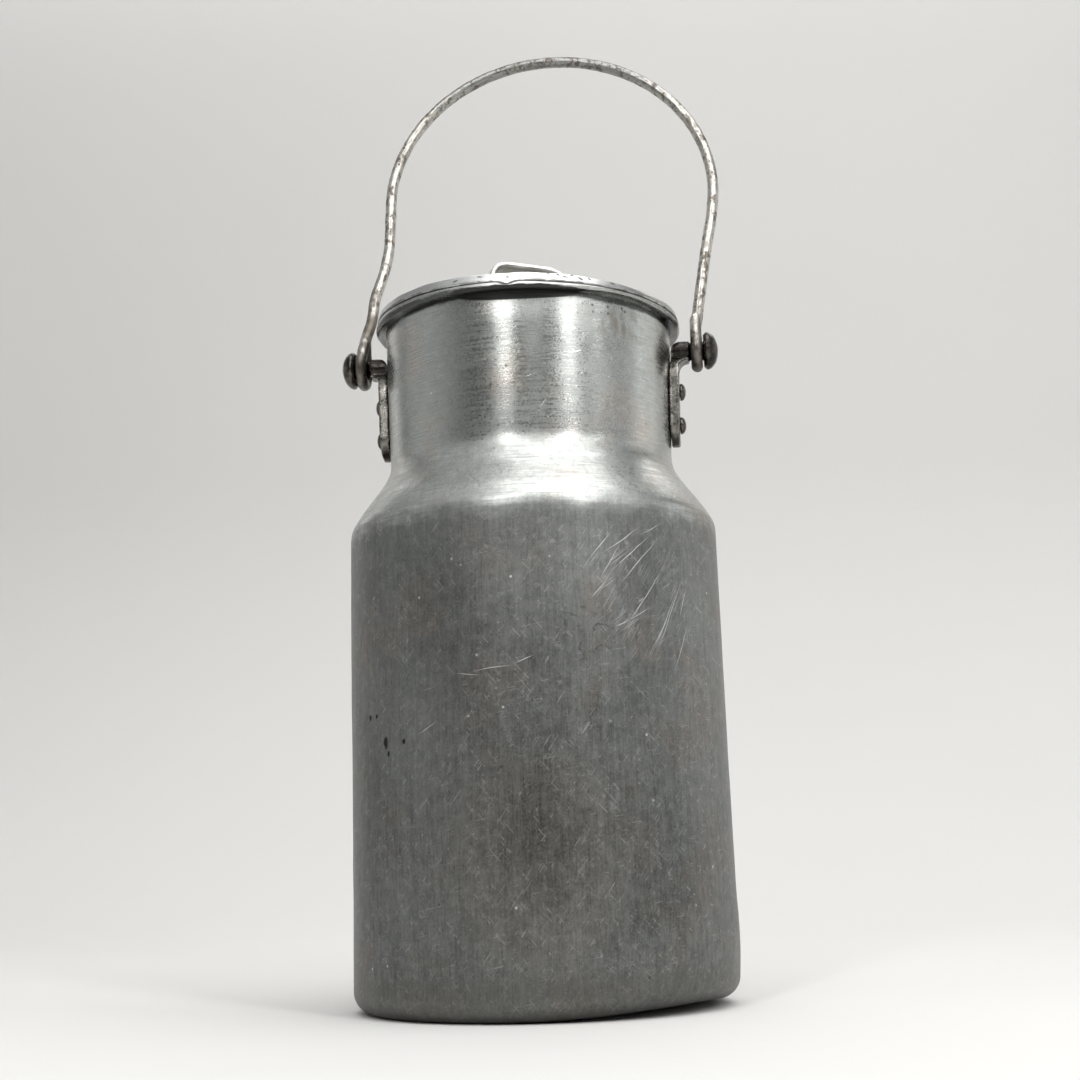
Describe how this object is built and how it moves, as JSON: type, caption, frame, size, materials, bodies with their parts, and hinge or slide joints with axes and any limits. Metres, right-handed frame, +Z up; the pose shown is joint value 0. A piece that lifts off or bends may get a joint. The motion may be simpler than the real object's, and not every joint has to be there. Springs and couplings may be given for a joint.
{
  "type": "milk can",
  "caption": "Round aluminium milk can with a narrower neck, a plug lid with a strap handle, and a swinging wire bail hung from riveted steel ears.",
  "frame": {"origin": "centre of the base, on the surface the can stands on", "axes": "+Z up along the can's axis; the two ears and the bail's hinge lie along X; -Y is the front"},
  "size_m": [0.1358, 0.125, 0.3448],
  "materials": {
    "can_aluminium": "satin, aged and finely scratched",
    "lid_aluminium": "satin, worn bright on the edge",
    "rivet_aluminium": "satin",
    "ear_steel": "blackened and brown with age, polished by wear on its edges",
    "bail_wire": "worn plating with brown patina"
  },
  "bodies": {
    "can": {"can_body": "can_aluminium", "ear_right": "ear_steel", "ear_left": "ear_steel", "ear_rivet_right_upper": "ear_steel", "ear_rivet_right_lower": "ear_steel", "ear_rivet_left_upper": "ear_steel", "ear_rivet_left_lower": "ear_steel", "rivet_washer_right_upper": "ear_steel", "rivet_washer_right_lower": "ear_steel", "rivet_washer_left_upper": "ear_steel", "rivet_washer_left_lower": "ear_steel"},
    "lid": {"lid_cap": "lid_aluminium", "lid_handle": "lid_aluminium", "lid_rivet_right": "rivet_aluminium", "lid_rivet_left": "rivet_aluminium"},
    "bail": {"bail": "bail_wire"}
  },
  "joints": [
    {"name": "bail_swing", "type": "hinge", "parent": "can", "child": "bail", "pos_m": [0, 0, 0.2194], "axis": [1, 0, 0], "range_deg": [-137, 157]},
    {"name": "lid_lift", "type": "slide", "parent": "can", "child": "lid", "axis": [0, 0, 1], "range_m": [0, 0.014]}
  ]
}
